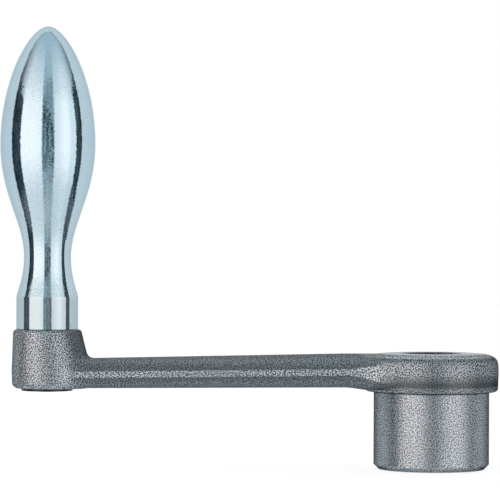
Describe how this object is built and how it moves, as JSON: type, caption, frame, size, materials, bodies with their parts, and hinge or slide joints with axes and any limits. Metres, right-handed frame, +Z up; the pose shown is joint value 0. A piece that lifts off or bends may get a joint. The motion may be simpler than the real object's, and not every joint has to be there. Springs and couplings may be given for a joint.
{
  "type": "crank handle",
  "caption": "Straight cast-iron crank arm with a bored hub at one end and a fixed turned steel handle riveted upright at the other.",
  "frame": {"origin": "centre of the bore at the lower face of the hub", "axes": "+Z up the bore axis, toward the top face and the side that the handle stands on; the arm runs along -X from the bore to the handle; +Y completes the right-handed frame"},
  "size_m": [0.1038, 0.0278, 0.0917],
  "materials": {
    "cast_iron": "shot-blasted grey iron, with the hub, bore and top face machined",
    "zinc_plated_steel": "turned and polished steel with a blue passivated zinc plating"
  },
  "bodies": {
    "root": {"crank_arm": "cast_iron", "handle": "zinc_plated_steel"}
  },
  "joints": []
}
